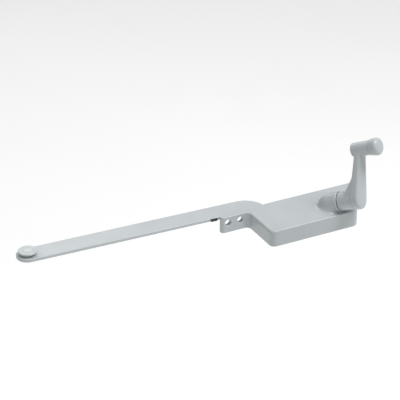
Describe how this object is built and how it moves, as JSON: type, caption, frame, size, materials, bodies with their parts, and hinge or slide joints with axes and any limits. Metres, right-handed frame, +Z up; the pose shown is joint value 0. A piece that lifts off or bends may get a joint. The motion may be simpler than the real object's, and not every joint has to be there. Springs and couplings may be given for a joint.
{
  "type": "casement window operator with crank",
  "caption": "Face-mounted crank operator for a casement window: cast housing with screw flanges, flat swing arm with a track button, and a tilted crank handle with a knob.",
  "frame": {"origin": "midway between the two screw holes of the left flange, on the face that meets the window frame", "axes": "+X along the housing and arm towards the crank, +Y out through the window, +Z up"},
  "size_m": [0.327, 0.0911, 0.085],
  "materials": {
    "painted_zinc": "satin silver-grey enamel",
    "painted_steel": "satin silver-grey enamel",
    "plated_steel": "zinc plated",
    "gear_steel": "oiled",
    "bronze": "sintered",
    "black_rubber": "matte",
    "nylon": "matte"
  },
  "bodies": {
    "housing": {"housing": "painted_zinc", "base_plate": "plated_steel", "base_screws": "plated_steel", "arm_pivot_pin": "gear_steel", "pivot_spacer": "nylon", "left_bearing": "bronze", "right_bearing": "bronze", "crank_bush": "bronze", "boss_seal": "black_rubber"},
    "arm": {"operator_arm": "painted_steel", "gear_sector": "gear_steel", "sector_rivets": "plated_steel", "pivot_bush": "bronze", "arm_bumper": "black_rubber", "button_stud": "painted_steel", "button_washer": "nylon"},
    "track_button": {"track_button": "painted_steel"},
    "worm": {"worm_shaft": "gear_steel", "shaft_clips": "plated_steel", "driven_gear": "bronze", "driven_gear_pin": "gear_steel"},
    "crank": {"crank_shaft": "gear_steel", "drive_pinion": "gear_steel", "pinion_pin": "gear_steel", "crank_handle": "painted_zinc", "handle_set_screw": "plated_steel", "knob_spindle": "plated_steel", "spindle_pin": "plated_steel"},
    "knob": {"knob": "painted_zinc"}
  },
  "joints": [
    {"name": "arm_swing", "type": "hinge", "parent": "housing", "child": "arm", "pos_m": [0.0407, -0.0086, 0], "axis": [0, 0, -1], "range_deg": [0, 100]},
    {"name": "button_spin", "type": "hinge", "parent": "arm", "child": "track_button", "pos_m": [-0.18476, 0.02003, 0.006], "axis": [0, 0, 1], "continuous": true},
    {"name": "worm_turn", "type": "hinge", "parent": "housing", "child": "worm", "pos_m": [0.0407, -0.03145, -0.0009], "axis": [1, 0, 0], "range_deg": [0, 3000]},
    {"name": "crank_turn", "type": "hinge", "parent": "housing", "child": "crank", "pos_m": [0.08773, -0.03842, 0.01448], "axis": [-0.4913, 0.7863, -0.3746], "range_deg": [0, 3375]},
    {"name": "knob_spin", "type": "hinge", "parent": "crank", "child": "knob", "pos_m": [0.11109, -0.04531, 0.06498], "axis": [0.4913, -0.7863, 0.3746], "continuous": true}
  ],
  "couplings": [
    {"joint": "arm_swing", "follows": "crank_turn", "ratio": 0.02963},
    {"joint": "worm_turn", "follows": "crank_turn", "ratio": 0.88889}
  ]
}
